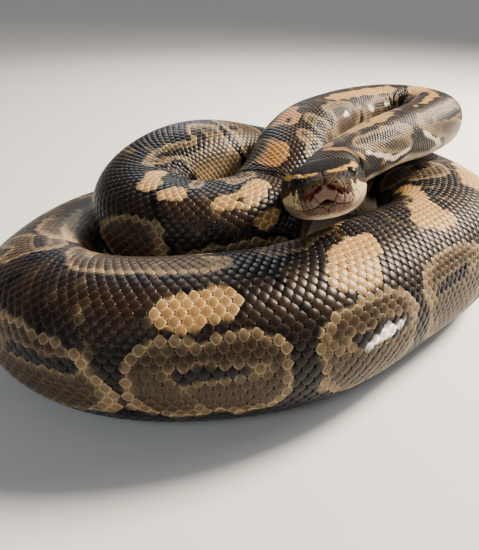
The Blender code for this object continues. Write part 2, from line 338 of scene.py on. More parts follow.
# --- Markings
# Linear colours
GROUND = np.array((0.0052, 0.0042, 0.0042))
BACK_BROWN = np.array((0.0200, 0.0108, 0.0062))
TAN = np.array((0.31, 0.168, 0.054))
ORANGE = np.array((0.29, 0.125, 0.030))
OLIVE = np.array((0.037, 0.0225, 0.0120))
CREAM = np.array((0.27, 0.180, 0.088))
WHITE = np.array((0.86, 0.78, 0.66))
PALE = np.array((0.56, 0.46, 0.34))
SHADE = np.array((0.030, 0.019, 0.012))
BELLY = np.array((0.66, 0.56, 0.42))

# Each marking is a kind and its lobes, and each lobe (s, round, half length, half height, slant):
# where its middle is behind the nape, its angle up from level on the snake's left, its half sizes
# in centimetres and degrees, and how many degrees it climbs in each centimetre, if it does.
MARKS = [
    # The neck, and the loop that it makes
    ("tan", (1.00, 98, 0.17, 17), (1.35, 66, 0.18, 16, -50), (1.75, 42, 0.22, 9, -40)),
    ("tan", (1.45, 118, 0.24, 16)),
    ("flank", (3.0, 58, 0.95, 16, -8), (4.4, 45, 1.05, 17, -10), (3.3, 33, 1.0, 16, -14),
              (4.4, 12, 0.9, 18, -10)),
    ("eye", (3.4, 51, 1.15, 9, -10)),
    ("pale", (2.9, 17, 0.75, 5, -26), (4.5, -8, 0.7, 5, 2)),
    ("tan", (2.6, 120, 0.45, 14), (3.7, 105, 1.15, 18, -6), (4.8, 98, 0.6, 18)),
    ("eye", (2.45, 108, 0.24, 4)),
    ("shade", (4.35, 114, 0.30, 3.5, 30)),
    ("cream", (5.5, 106, 0.20, 14, 10)),
    ("cream", (6.3, 108, 0.16, 12, 10)),
    ("flank", (7.2, 45, 1.3, 17), (9.4, 42, 2.2, 19), (8.3, 10, 1.9, 18, -8),
              (9.8, -15, 1.7, 28, -8)),
    ("eye", (8.6, 35, 1.9, 8, -2)),
    ("pale", (7.2, -5, 1.2, 4.5, -24)),
    ("tan", (9.6, 93, 1.9, 8.5, 3), (12.5, 104, 0.85, 21, -8)),
    ("tan", (15.4, 115, 1.4, 11.5), (17.3, 112, 1.6, 10.5, -2), (19.1, 103, 1.0, 10)),
    ("flank", (15.6, 150, 2.3, 18), (16.0, 172, 2.2, 22)),
    ("eye", (14.4, 152, 0.55, 6)),
    ("eye", (16.4, 149, 0.6, 5)),
    # Painted highlights: two small pale spots of glare on the scales of this blotch
    ("pale", (15.5, 151, 0.25, 4)),
    ("pale", (17.3, 152, 0.25, 7)),
    ("flank", (19.9, 134, 1.45, 20, -6), (20.2, 160, 1.7, 22)),
    ("eye", (20.25, 136, 0.85, 9, -4)),
    ("pale", (20.1, 144, 0.35, 3.5)),
    ("orange", (22.2, 66, 0.85, 17, -3), (22.5, 86, 0.48, 11)),
    ("eye", (22.65, 82, 0.20, 5)),
    ("flank", (22.25, 113, 0.34, 11), (22.35, 130, 0.55, 14), (22.4, 150, 0.6, 16)),
    ("eye", (22.3, 130, 0.30, 8)),
    ("flank", (23.45, 111, 0.36, 11), (23.9, 127, 0.50, 9)),
    ("eye", (23.9, 128, 0.24, 5)),
    # The inner coil
    ("orange", (24.85, 86, 0.72, 19, 5), (24.35, 62, 0.62, 19, 10)),
    ("tan", (28.1, 110, 0.65, 11, 8), (28.75, 122, 0.68, 10)),
    ("shade", (28.75, 121, 0.22, 3)),
    ("flank", (28.35, 82, 0.42, 15, 8), (28.3, 60, 0.8, 20)),
    ("flank", (30.1, 84, 0.36, 14, 6)),
    ("tan", (30.75, 109, 0.48, 11)),
    ("tan", (31.85, 104, 0.36, 13, -8), (32.5, 84, 0.45, 13, -14)),
    ("tan", (28.3, 148, 0.32, 8, 10)),
    ("flank", (31.45, 156, 0.78, 12), (31.6, 176, 1.0, 20)),
    ("shade", (32.0, 162, 0.3, 6)),
    ("flank", (34.7, 72, 0.95, 12, -10), (36.1, 56, 1.0, 13, -12), (37.0, 38, 1.0, 20, -4),
              (38.0, 52, 0.72, 33), (37.6, 16, 1.5, 26)),
    ("eye", (35.2, 67, 0.55, 4.5, -14), (36.1, 53, 0.60, 5, -12), (37.0, 45, 0.5, 4.5),
            (37.65, 58, 0.22, 14, 6)),
    ("flank", (40.1, 64, 1.15, 28, -10), (40.4, 35, 1.2, 24)),
    ("eye", (39.4, 63, 0.28, 5)),
    # The outer coil
    ("cream", (51.6, 4, 1.4, 10, 5)),
    ("flank", (56.9, 70, 1.5, 21), (55.6, 42, 1.4, 20, 8)),
    ("eye", (56.0, 68, 0.62, 11)),
    ("tan", (57.2, 112, 1.9, 13, -2)),
    ("tan", (63.3, 106, 1.05, 14), (62.9, 92, 0.90, 15, 12), (61.2, 68, 1.4, 8, 14),
            (59.0, 48, 1.8, 7, 10)),
    ("eye", (62.3, 72, 0.4, 3.0, 14)),
    ("flank", (64.3, 157, 2.05, 25), (64.3, 184, 1.8, 24)),
    ("eye", (64.4, 156, 1.2, 5, 2)),
    ("tan", (67.6, 103, 1.05, 14, 3), (68.35, 119, 0.90, 14)),
    ("flank", (68.4, 162, 1.62, 25), (68.4, 188, 1.5, 22)),
    ("eye", (68.2, 164, 1.0, 8)),
    ("white", (68.1, 166, 0.58, 4.2, 4)),
    ("tan", (72.35, 122, 0.84, 11), (73.0, 128, 0.66, 11)),
    ("flank", (71.72, 172, 1.14, 32), (73.28, 173, 1.10, 31)),
    ("eye", (72.45, 166, 0.85, 5)),
    ("flank", (76.45, 163, 1.50, 18, -4), (76.3, 188, 1.75, 22)),
    ("eye", (76.2, 165, 0.9, 5.5)),
    ("flank", (73.0, 83, 1.45, 13), (75.5, 83, 1.6, 13), (77.5, 70, 1.2, 10, -14),
              (74.8, 52, 2.8, 20)),
    ("shade", (74.5, 71, 2.1, 10)),
    ("flank", (67.8, 66, 2.2, 9, 6), (69.6, 74, 0.95, 10), (68.0, 45, 2.0, 18)),
    ("flank", (79.7, 86, 1.1, 24), (80.7, 107, 0.65, 14), (79.25, 108, 0.42, 12)),
    ("flank", (83.5, 74, 3.2, 26, 2), (86.4, 92, 1.7, 24, -5), (84.5, 40, 3.6, 24)),
    ("cream", (82.8, 64, 2.6, 8, 2)),
    ("eye", (80.0, 85, 0.9, 6)),
    ("shade", (84.2, 103, 1.2, 8, -2)),
    ("eye", (87.0, 106, 0.4, 8, -8)),
    ("eye", (83.5, 41, 0.6, 6, 8)),
]
# Stretches of each flank that the marks above leave out: (side, first s, last s). Side is -1 for
# the snake's left and 1 for its right.
UNSEEN_FLANKS = [
    (1, 1.0, 12.5), (-1, 11.5, 27.0), (1, 25.0, 30.0), (1, 33.5, 62.0), (-1, 42.0, 53.5),
    (1, 79.0, 101.0), (-1, 89.0, 101.0),
]
UNSEEN_BACK = [(42.0, 55.0), (88.0, 100.0)]
LOBE_SQUARE = 2.5         # lobes are between an ellipse (2) and a square
MERGE, MERGE_POWER = 0.16, 1.3      # lobes nearer than this run together, in centimetres
KINDS = {"tan": TAN, "orange": ORANGE, "flank": OLIVE, "cream": CREAM, "white": WHITE,
         "pale": PALE, "eye": GROUND, "shade": SHADE}


def fill_unseen(marks):
    """Adds more markings of the same kinds where the list above has none."""
    chance = np.random.default_rng(11)
    for side, first, last in UNSEEN_FLANKS:
        s = first
        while s < last:
            size = body.radius(s) * chance.uniform(0.62, 0.80)
            s += size
            line = float(body.back_line(s))
            top = chance.uniform(28, 36)
            marks.append(("flank", (s, line + side * (top + 20), size * 0.85, 22),
                          (s + size * 0.1, line + side * 90, size * 0.95, 40)))
            if chance.random() < 0.8:
                marks.append(("eye", (s, line + side * (top + 24), size * 0.45, 7)))
            s += size * chance.uniform(1.15, 1.45)
    for first, last in UNSEEN_BACK:
        s = first
        while s < last:
            size = body.radius(s) * chance.uniform(0.25, 0.42)
            s += size
            line = float(body.back_line(s)) + chance.uniform(-8, 8)
            marks.append(("tan", (s, line, size, chance.uniform(10, 15))))
            s += size * chance.uniform(2.5, 4.5)


def lobe_distance(s, turn, radius, at, angle, half_long, half_high, slant=0):
    """Roughly how far inside a lobe's edge a place is, in centimetres."""
    high = np.radians(half_high) * radius
    u = (s - at) / half_long
    rise = (turn - angle - slant * (s - at) + 180.0) % 360.0 - 180.0
    v = np.radians(rise) * radius / high
    reach = (np.abs(u) ** LOBE_SQUARE + np.abs(v) ** LOBE_SQUARE) ** (1.0 / LOBE_SQUARE)
    return (1.0 - reach) * np.minimum(half_long, high)


def ripple(s, turn, seed):
    """A smooth wandering number between about -1 and 1."""
    chance = np.random.default_rng(seed)
    total = np.zeros_like(s)
    for k in range(6):
        a, b = chance.uniform(0.8, 5.0), chance.uniform(0.03, 0.16)
        total += np.sin(a * s + b * turn * (1 if k % 2 else -1) + chance.uniform(0, 6.3))
    return total / 2.6


def mix(colour, tint, share):
    """The colour turned towards the tint, by a share for each place."""
    return colour + (tint - colour) * share[:, None]


def markings(s, phi):
    """The colour of the body at each place."""
    turn = body.back_line(s) + phi
    radius = body.radius(s)
    far = np.abs(phi)
    wander = ripple(s, turn, 3)
    brown = np.clip(1.15 - far / 34.0 + 0.25 * wander, 0, 1)
    colour = mix(GROUND, BACK_BROWN, brown ** 1.2)
    colour = mix(colour, BELLY, smooth(116, 134, far + 6 * wander))
    edge = 0.05 * ripple(s * 1.7, turn * 1.3, 5)
    for kind, *lobes in MARKS:
        reach = max(lobe[2] for lobe in lobes) + 0.6
        centre = [lobe[0] for lobe in lobes]
        near = np.flatnonzero((s > min(centre) - reach) & (s < max(centre) + reach))
        if not len(near):
            continue
        parts = [lobe_distance(s[near], turn[near], radius[near], *lobe) for lobe in lobes]
        joined = sum(np.maximum(part + MERGE, 0.0) ** MERGE_POWER for part in parts)
        inside = joined ** (1 / MERGE_POWER) - MERGE + edge[near]
        paint(colour, near, kind, inside, far[near])
    return colour


def paint(colour, near, kind, inside, far):
    """Lays one marking over the colours of the places near it."""
    here = colour[near]
    cover = smooth(-0.03, 0.03, inside)
    tint = np.tile(KINDS[kind], (len(near), 1))
    if kind in ("tan", "orange", "flank"):
        dull = fade(0.03, 0.08, here.max(axis=1))
        dark = 1.0 - 0.70 * dull * smooth(-0.155, -0.05, inside) * fade(-0.05, 0.0, inside)
        here = here * dark[:, None]
        rim = fade(0.03, 0.30, inside)
        if kind == "flank":
            rim = np.maximum(rim, smooth(92, 122, far))
        tint = tint + (CREAM - tint) * rim[:, None] * (0.55 if kind == "flank" else 0.30)
    if kind == "eye":
        halo = smooth(-0.155, -0.03, inside) * (1 - cover)
        here = here + (CREAM - here) * halo[:, None] * 0.35
    colour[near] = mix(here, tint, cover)


# --- The head
LIP_ARC = body.head_sizes[0, 0] + distances(np.column_stack([body.head_sizes[:, 0], body.head_at]))
# Height of the line of the mouth, by the distance round the lip from the middle of the snout
MOUTH_LINE = [(0.0, 0.0), (0.10, -0.035), (0.25, -0.11), (0.45, -0.19), (0.9, -0.265),
              (1.5, -0.27), (2.5, -0.20), (3.9, -0.02), (4.4, 0.05)]
MOUTH_END = 3.95
# Plates of the snout, each a short bar in the head's frame: (from, to, half width, swell). All but
# the one on the middle line are made again on the other side.
PLATES = [
    ((-0.12, 0.0, 0.15), (0.12, 0.0, 0.15), 0.150, 0.095),
    ((0.33, 0.06, 0.46), (0.36, 0.12, 0.46), 0.075, 0.030),
    ((0.17, 0.14, 0.60), (0.24, 0.24, 0.64), 0.105, 0.030),
    ((0.20, 0.50, 0.73), (0.24, 0.72, 0.79), 0.125, 0.030),
    ((0.52, 0.30, 0.52), (0.56, 0.42, 0.54), 0.085, 0.030),
    ((0.72, 0.98, 0.80), (0.82, 1.62, 0.88), 0.085, 0.025),
]
# Rows of plates round the lips: (where the first is round the lip, its lower and upper end above
# the line of the mouth, its half width, the length of a plate, its swell)
LIP_ROWS = [(0.42, 0.10, 0.20, 0.07, 0.33, 0.086), (0.26, -0.24, -0.09, 0.05, 0.27, 0.080)]
CHIN_TIP = ((0.0, 0.01, -0.14), (0.0, 0.12, -0.26), 0.07, 0.080)
# The small scales between the plates: where they start and end, and their size behind the snout
SMALL_SWELL, SMALL_START, SMALL_END = 0.026, 0.30, 4.35
SMALL_SIZE, SMALL_GROWTH = 0.135, 0.028
# The relief of the head, in centimetres in or out
GROOVE_DEPTH, MOUTH_DEPTH, NOTCH_DEPTH, CHIN_SET_BACK = 0.020, 0.075, 0.16, 0.075
PIT_DEPTH, NOSTRIL_DEPTH, MIDDLE_DEPTH = 0.085, 0.07, 0.03
SOCKET_DEPTH, LID_SWELL, BROW_SWELL = 0.20, 0.030, 0.035
BROW = ((0.72, 0.95, 0.84), (0.90, 1.70, 0.90))
# Heat pits and nostril: slits from one point to another, and their half width
PITS = [
    ((0.14, 0.0, 0.375), (0.26, 0.0, 0.30), 0.078),
    ((0.42, 0.03, 0.23), (0.48, 0.07, 0.12), 0.082),
    ((0.69, 0.24, 0.14), (0.72, 0.33, 0.05), 0.066),
    ((0.87, 0.72, 0.07), (0.89, 0.77, 0.04), 0.038),
]
NOSTRIL = ((0.325, 0.06, 0.45), (0.35, 0.10, 0.46), 0.034)
LIP_PINK = np.array((0.205, 0.132, 0.096))
CHIN_GREY = np.array((0.150, 0.094, 0.070))
CHIN_CREAM = np.array((0.34, 0.265, 0.185))
SNOUT_BROWN = np.array((0.031, 0.0195, 0.0118))
CROWN_BROWN = np.array((0.0075, 0.0044, 0.0028))
HEAD_BLACK = np.array((0.0060, 0.0050, 0.0052))
GOLD = np.array((0.44, 0.245, 0.045))
CHEEK_CREAM = np.array((0.62, 0.48, 0.24))
PIT_RED = np.array((0.120, 0.024, 0.013))
NASAL_YELLOW = np.array((0.23, 0.155, 0.070))
# The gold stripe and the black band under it, in the head's frame
GOLD_LINE = [(0.25, 0.70, 0.81), (0.40, 0.82, 0.82), (0.62, 1.02, 0.82), (0.88, 1.62, 0.83),
             (1.08, 2.20, 0.85), (1.20, 2.90, 0.88), (1.18, 3.60, 0.92), (1.00, 4.60, 0.95)]
BAND_LINE = [(0.40, 0.14, 0.60), (0.56, 0.42, 0.60), (0.80, 0.92, 0.60), (0.98, 1.40, 0.58),
             (1.20, 2.00, 0.52), (1.38, 2.70, 0.48), (1.46, 3.50, 0.42), (1.30, 4.60, 0.30)]
NASAL = ((0.20, 0.02, 0.50), (0.50, 0.16, 0.34))
BRUISE = (0.80, 0.62, 0.14)
BANDS_FADE = (4.3, 5.6)     # where the bands of the head fade out, behind the snout
# Height of the top of the cream on the cheek, by distance behind the snout
CHEEK_TOP = [(0.45, 0.0), (0.62, 0.16), (0.74, 0.46), (0.95, 0.26), (1.15, 0.24), (1.40, 0.44),
             (1.62, 0.30), (2.2, 0.24), (3.0, 0.12), (4.9, 0.02)]


def mouth_height(arc):
    return curve(MOUTH_LINE, np.clip(arc, 0, MOUTH_LINE[-1][0]))[:, 0]


def lip_arc(local):
    """The distance round the lip of each place on the head."""
    behind = local[:, 1]
    arc = np.interp(behind, body.head_at, LIP_ARC)
    return np.where(behind < 0.002, np.minimum(np.abs(local[:, 0]), LIP_ARC[0]), arc)


def bar_distance(places, first, last):
    """How far each place is from a straight bar."""
    first, last = np.array(first), np.array(last)
    run = last - first
    share = np.clip((places - first) @ run / max(run @ run, 1e-9), 0.0, 1.0)
    return np.linalg.norm(places - first - share[:, None] * run, axis=1)


def line_distance(places, line):
    return np.minimum.reduce([bar_distance(places, a, b) for a, b in zip(line[:-1], line[1:])])


def nostril_distance(places):
    """How far each place is from the nostril, in half widths of it."""
    first, last, wide = NOSTRIL
    return bar_distance(places, first, last) / wide


def eye_distance(places):
    return np.linalg.norm(places - np.array(EYE_PLACE), axis=1)


def lip_place(arc, above, side):
    """The point of the head's side at a distance round the lip and a height above the mouth."""
    height = float(mouth_height(np.array([arc]))[0]) + above
    if arc < LIP_ARC[0]:
        return (side * arc, 0.0, height)
    behind = float(np.interp(arc, LIP_ARC, body.head_at))
    wide, tall, deep = [np.interp(behind, body.head_at, c) for c in body.head_sizes.T]
    reach = tall - HEAD_WIDEST if height > HEAD_WIDEST else deep + HEAD_WIDEST
    share = min(abs(height - HEAD_WIDEST) / reach, 1.0)
    across = wide * (1.0 - share ** HEAD_SQUARE) ** (1.0 / HEAD_SQUARE)
    return (side * across, behind, height)


def plate_bars():
    """Every plate of the head, as a bar with a half width and a swell."""
    bars = []
    for first, last, half, swell in PLATES:
        bars.append((first, last, half, swell))
        if first[0] > 0:
            bars.append(((-first[0], *first[1:]), (-last[0], *last[1:]), half, swell))
    for side in (-1, 1):
        for arc, bottom, top, half, length, swell in LIP_ROWS:
            while arc < MOUTH_END:
                flatter = 1.0 - 0.6 * min(arc / MOUTH_END, 1.0)
                bars.append((lip_place(arc, bottom, side), lip_place(arc, top, side), half,
                             swell * flatter))
                arc += length
    return bars + [CHIN_TIP]


def small_head_scales(bars):
    """A staggered cover of small scales, left out where a plate already lies."""
    chance = np.random.default_rng(5)
    ends = np.array([bar[0] for bar in bars] + [bar[1] for bar in bars])
    widths = np.array([bar[2] for bar in bars] * 2)
    phis = np.linspace(-180, 180, 721)
    behind = SMALL_START
    odd = False
    cover = []
    while behind < SMALL_END:
        size = SMALL_SIZE + SMALL_GROWTH * behind
        along = distances(body.head_local(np.full(len(phis), behind), phis))
        count = int(along[-1] / size)
        steps = (np.arange(count) + (0.5 if odd else 0.0)) * along[-1] / count
        phi = np.interp(steps, along, phis) + chance.uniform(-1.2, 1.2, count)
        at = behind + chance.uniform(-0.012, 0.012, count)
        for place in body.head_local(at, phi):
            gap = np.linalg.norm(ends - place, axis=1) - widths
            if gap.min() > 0.55 * size:
                cover.append((tuple(place), tuple(place), 0.0, SMALL_SWELL))
        behind += size * 0.86
        odd = not odd
    return cover


def nearest_plates(places, bars):
    """For each place the two smallest distances to a plate's outline, and the nearest plate. It
    looks no further along the head than reach, and far stands for no plate."""
    reach, far = 0.55, 9.0
    best = np.full(len(places), far)
    second = np.full(len(places), far)
    which = np.zeros(len(places), int)
    order = np.argsort(places[:, 1])
    along = places[order, 1]
    for index, (first, last, half, _) in enumerate(bars):
        low = np.searchsorted(along, min(first[1], last[1]) - reach)
        high = np.searchsorted(along, max(first[1], last[1]) + reach)
        rows = order[low:high]
        gap = bar_distance(places[rows], first, last) - half
        closer = gap < best[rows]
        second[rows] = np.where(closer, best[rows], np.minimum(second[rows], gap))
        which[rows] = np.where(closer, index, which[rows])
        best[rows] = np.where(closer, gap, best[rows])
    return best, second, which


def mirrored(local):
    """The head's places all brought to the snake's left side."""
    return np.column_stack([np.abs(local[:, 0]), local[:, 1:]])


def head_depth(local, bars):
    """How far inside the solids the skin of the head lies at each place, how far the place is from
    the edge of its plate, and which plate that is."""
    half = mirrored(local)
    across, behind, up = local.T
    best, second, which = nearest_plates(local, bars)
    gap = second - best
    swell = np.array([bar[3] for bar in bars])[which]
    share = np.clip(gap / (0.12 + 2.0 * swell), 0.0, 1.0)
    depth = GROOVE_DEPTH * fade(0.0, 0.035, gap) + swell * (1.0 - np.sqrt(share * (2.0 - share)))
    arc = lip_arc(local)
    above = up - mouth_height(arc)
    opens = fade(MOUTH_END - 0.3, MOUTH_END, arc)
    notch = hill(above + 0.045, 0.055) * hill(arc, 0.12)
    depth += opens * (MOUTH_DEPTH * hill(above, 0.030) + NOTCH_DEPTH * notch)
    lower = smooth(0.0, -0.05, above) * smooth(-0.60, -0.1, above)
    depth += CHIN_SET_BACK * opens * lower * (1 - 0.7 * smooth(0.3, 2.0, behind))
    for first, last, wide in PITS:
        depth += PIT_DEPTH * fade(0.4 * wide, 1.25 * wide, bar_distance(half, first, last))
    depth += NOSTRIL_DEPTH * fade(0.3, 1.2, nostril_distance(half))
    out = eye_distance(half)
    depth += SOCKET_DEPTH * fade(0.185, 0.235, out)
    depth -= LID_SWELL * smooth(0.19, 0.24, out) * fade(0.25, 0.36, out)
    depth -= BROW_SWELL * fade(0.05, 0.22, bar_distance(half, *BROW))
    middle = hill(across, 0.03) * smooth(0.1, 0.2, behind) * fade(0.8, 1.1, behind)
    depth += MIDDLE_DEPTH * middle * (up > 0.3)
    return depth, gap, which


def head_colour(local, gap, which):
    """The colour of the head at each place."""
    half = mirrored(local)
    across, behind, up = local.T
    arc = lip_arc(local)
    above = up - mouth_height(arc)
    tone = np.random.default_rng(8).uniform(0.82, 1.18, 4000)[which]
    mottle = ripple(behind * 6, across * 300 + up * 200, 21)
    fleck = ripple(behind * 8, across * 420 + up * 260, 34)
    rostral = which == 0
    colour = np.tile(SNOUT_BROWN, (len(local), 1))

    def lay(tint, cover):
        colour[:] = mix(colour, tint, np.clip(cover, 0, 1))

    # Crown, stripes and snout
    lay(CROWN_BROWN * 0.8, smooth(0.62, 0.95, behind) * smooth(0.35, 0.55, up))
    gold_gap = line_distance(half, GOLD_LINE)
    band_gap = line_distance(half, BAND_LINE)
    lay(HEAD_BLACK, fade(0.13, 0.24, gold_gap) * smooth(0.5, 0.8, behind)
        * smooth(0.74, 0.84, up + 0.02 * behind))
    lay(NASAL_YELLOW, 0.35 * fade(0.06, 0.20, bar_distance(half, *NASAL)) * fade(0.3, 0.5, behind))
    lay(HEAD_BLACK, fade(0.09, 0.14 + 0.05 * smooth(1, 2.5, behind), band_gap)
        * smooth(0.30, 0.55, behind))
    lay(GOLD, fade(0.105, 0.150, gold_gap + 0.02 * mottle))
    # Cheeks, lips and chin
    rise = np.interp(behind, *np.array(CHEEK_TOP).T)
    lay(CHEEK_CREAM, smooth(0.0, 0.03, rise - up + 0.012 * mottle) * smooth(0.50, 0.66, behind))
    bruise = np.linalg.norm((half - np.array(BRUISE)) / (1, 1.4, 0.6), axis=1)
    lay(SNOUT_BROWN * 1.6, 0.8 * fade(0.08, 0.16, bruise))
    lay(LIP_PINK, smooth(0.40, 0.30, above) * fade(0.55, 1.1, behind) * (above > 0))
    lay(LIP_PINK, rostral)
    lay(CHIN_GREY, (above < 0) * fade(0.8, 2.0, behind))
    lay(CHIN_CREAM, (above < 0) * np.maximum(smooth(0.26, 0.42, -above), smooth(0.8, 2.0, behind)))
    lay(BELLY, smooth(-0.45, -0.65, up))
    speckle = smooth(0.25, 0.60, mottle) * smooth(0.50, 0.75, arc) * (above > 0) * (above < 0.30)
    lay(SNOUT_BROWN * 1.5, 0.55 * speckle * fade(1.4, 2.0, behind))
    lay(SNOUT_BROWN * 2.6, 0.55 * smooth(0.05, 0.55, fleck) * smooth(0.62, 0.40, up)
        * smooth(-0.75, -0.55, up) * fade(1.6, 2.6, behind) * ~rostral)
    # The plates' own tones; their lighter edges, partly their own paler rims and partly a painted
    # highlight; and painted shade in the grooves between them
    colour *= tone[:, None]
    # Lighter plate edges: partly the plates' own paler rims, partly a painted highlight
    lay(colour * 1.55 + 0.0012, 0.7 * fade(0.03, 0.10, gap) * smooth(0.0, 0.012, gap)
        * (above > -0.5))
    # Painted shade in the grooves between the plates
    lay(colour * 0.20, 0.90 * fade(0.006, 0.038, gap))
    # Pits, nostrils, mouth and eye sockets: the pits' own red-brown, painted shade deep in the pits, in
    # the nostrils and along the mouth, and black in the eye sockets
    for first, last, wide in PITS:
        hole = bar_distance(half, first, last) / wide
        lay(PIT_RED, fade(0.75, 1.25, hole))
        # Painted shade deepening towards the middle of each pit
        lay(PIT_RED * 0.3, 0.8 * fade(0.15, 0.65, hole))
    # Painted shade in the nostril
    lay(HEAD_BLACK, fade(0.6, 1.2, nostril_distance(half)))
    # Painted shade along the line of the mouth and in the notch at its front
    notch = hill(above + 0.05, 0.04) * hill(arc, 0.10)
    lay(PIT_RED * 0.35, hill(above, 0.022) * (arc < MOUTH_END) + 1.4 * notch)
    lay(HEAD_BLACK, fade(0.19, 0.24, eye_distance(half)))
    return colour


def blend_to_head(colour, local):
    """Carries the head's own bands back over the nape, where the body's markings take over."""
    half = mirrored(local)
    share = fade(*BANDS_FADE, local[:, 1])
    gold = fade(0.10, 0.15, line_distance(half, GOLD_LINE))
    band = fade(0.22, 0.30, line_distance(half, BAND_LINE))
    cream = smooth(0.10, 0.0, local[:, 2])
    for tint, cover in ((HEAD_BLACK, band), (GOLD, gold), (CHEEK_CREAM, cream)):
        colour = mix(colour, tint, cover * share)
    return colour


# --- The skin
SNOUT_RINGS, HEAD_RINGS, HEAD_SIDES = 24, 175, 352
SNOUT_HEART = (0.0, 0.0, 0.135)
SNOUT_BEND = 8            # rings over which the front of the snout turns into its sides
HEAD_RINGS_END = 4.30     # where the body's rings take over, behind the snout
DEPTH_FADE, MARKINGS_FADE = (3.60, 4.00), (3.55, 3.85)      # where the body's own depth and markings do
SKIN_STEP, HEAD_GAP, TIP_GAP = 0.34, 0.06, 0.02
BANDS_END = 0.5           # how far the head's bands go on over the skin, and over the scales
SCALE_BANDS_END = 0.9
SKIN_SHADE = 0.55         # the skin between the scales is darker than they are: painted shade in the gaps between them
HEAD_UV, BODY_UV = (0.0, 0.35), (0.36, 0.63)      # shares of the unwrap: (start, length)


def ring_angles(sides):
    return -180.0 + 360.0 * np.arange(sides) / sides


def ring_uv(along, sides):
    """One ring's places on the unwrap: all equally far along, and evenly spread round."""
    return np.column_stack([np.full(sides, along), np.linspace(0, 1, sides, endpoint=False)])


def bridge(low, high):
    """Faces between two rings: equal, or the second with half as many points."""
    n, m = len(low), len(high)
    k = np.arange(m)
    if n == m:
        j = (k + 1) % n
        return [np.column_stack([low[k], low[j], high[j], high[k]])]
    even, odd, after = low[2 * k], low[2 * k + 1], low[(2 * k + 2) % n]
    turn = high[(k + 1) % m]
    return [np.concatenate([np.column_stack([even, odd, high[k]]),
                            np.column_stack([odd, turn, high[k]]),
                            np.column_stack([odd, after, turn])])]


def gather(faces, sides):
    """The faces with so many sides, in one array."""
    return np.concatenate([f for f in faces if f.shape[1] == sides])


def head_rings():
    """The rings of the head in its own frame, from the middle of the snout back."""
    phi = ring_angles(HEAD_SIDES)
    # The blunt front of the snout: smaller and smaller copies of the first ring.
    first = body.head_local(np.zeros(HEAD_SIDES), phi)
    heart = np.array(SNOUT_HEART)
    shares = np.linspace(0.03, 1.0, SNOUT_RINGS)[:-1]
    places = HEAD_RINGS_END * np.linspace(0.0, 1.0, HEAD_RINGS) ** 1.55
    return np.array([heart + (first - heart) * share for share in shares]
                    + [body.head_local(np.full(HEAD_SIDES, place), phi) for place in places])


def ring_normals(grid):
    """The way out of the head at each place, turning evenly from the front of the snout."""
    around = np.roll(grid, -1, axis=1) - np.roll(grid, 1, axis=1)
    normal = unit(np.cross(np.gradient(grid, axis=0), around))
    front = -HEAD_AXES[:, 1]
    first, last = SNOUT_RINGS - 1, SNOUT_RINGS - 1 + SNOUT_BEND
    share = np.linspace(0, 1, SNOUT_BEND)[:, None, None]
    normal[:first] = front
    normal[first:last] = (1 - share) * front + share * normal[last]
    return unit(normal).reshape(-1, 3)


def make_skin(material):
    """One closed skin from the snout to the tip of the tail."""
    bars = plate_bars()
    bars += small_head_scales(bars)
    rings = head_rings()
    count = len(rings)
    local = rings.reshape(-1, 3)
    relief, gap, which = head_depth(local, bars)
    share = smooth(*DEPTH_FADE, local[:, 1])
    depth = HEAD_DEPTH + relief * (1 - share) + (COAT_DEPTH - HEAD_DEPTH) * share
    world = body.to_world(local)
    points = [world - depth[:, None] * ring_normals(world.reshape(rings.shape))]
    coat = markings(local[:, 1] - HEAD_LENGTH, np.tile(ring_angles(HEAD_SIDES), count))
    share = smooth(*MARKINGS_FADE, local[:, 1])[:, None]
    colours = [head_colour(local, gap, which) * (1 - share) + blend_to_head(coat, local) * share]
    uvs = [ring_uv(u, HEAD_SIDES) for u in np.linspace(HEAD_UV[0], sum(HEAD_UV), count)]
    rows = list(np.arange(len(local)).reshape(count, HEAD_SIDES))
    total = len(local)
    start = HEAD_RINGS_END - HEAD_LENGTH
    for number, s in enumerate(np.arange(start + HEAD_GAP, body.length - TIP_GAP, SKIN_STEP)):
        sides = HEAD_SIDES // (1, 2, 4)[min(number, 2)]
        at, turn = np.full(sides, s), ring_angles(sides)
        here, normal = body.point_and_normal(at, turn)
        points.append(here - COAT_DEPTH * normal)
        tint = markings(at, turn)
        if s < BANDS_END:
            tint = blend_to_head(tint, body.to_head(here))
        # Painted shade: the skin in the gaps between the scales is darkened
        colours.append(tint * SKIN_SHADE)
        uvs.append(ring_uv(BODY_UV[0] + BODY_UV[1] * s / body.length, sides))
        rows.append(total + np.arange(sides))
        total += sides
    faces = [face for low, high in zip(rows[:-1], rows[1:]) for face in bridge(low, high)]
    # The middle of the snout and the tip of the tail
    points.append(np.array([points[0][:HEAD_SIDES].mean(axis=0), points[-1].mean(axis=0)]))
    colours.append(np.array([colours[0][0], colours[-1][0]]))
    uvs.append([(0.0, 0.5), (1.0, 0.5)])
    for ring, hub, flip in ((rows[0], total, True), (rows[-1], total + 1, False)):
        after = np.roll(ring, -1)
        hubs = np.full(len(ring), hub)
        faces.append(np.column_stack([hubs, after, ring] if flip else [hubs, ring, after]))
    return make_mesh("python_skin", np.concatenate(points),
                     [gather(faces, 4)[:, ::-1], gather(faces, 3)[:, ::-1]], material,
                     np.concatenate(colours), np.concatenate(uvs))


# --- The scales
RIM = 10
SCALE_SHAPE = 1.28       # between a diamond (1) and an ellipse (2)
TOP_SHARE = 0.82         # how much of a scale is its nearly flat top
LONG_SHARE, WIDE_SHARE = 1.02, 0.92      # size of a scale, as a share of its place in the rows
UNEVEN = 0.02            # how unevenly they lie
COLOUR_SHARE = 0.55      # a scale's colours are taken from the middle of its place
FULL_PITCH = 0.31        # a scale this long stands out as far as these depths and rises say
LEAST_DEPTH, FRONT_DEPTH, BACK_RISE = 0.004, 0.036, 0.020
RING_RISE = (0.020, 0.0152, 0.0, 0.0)
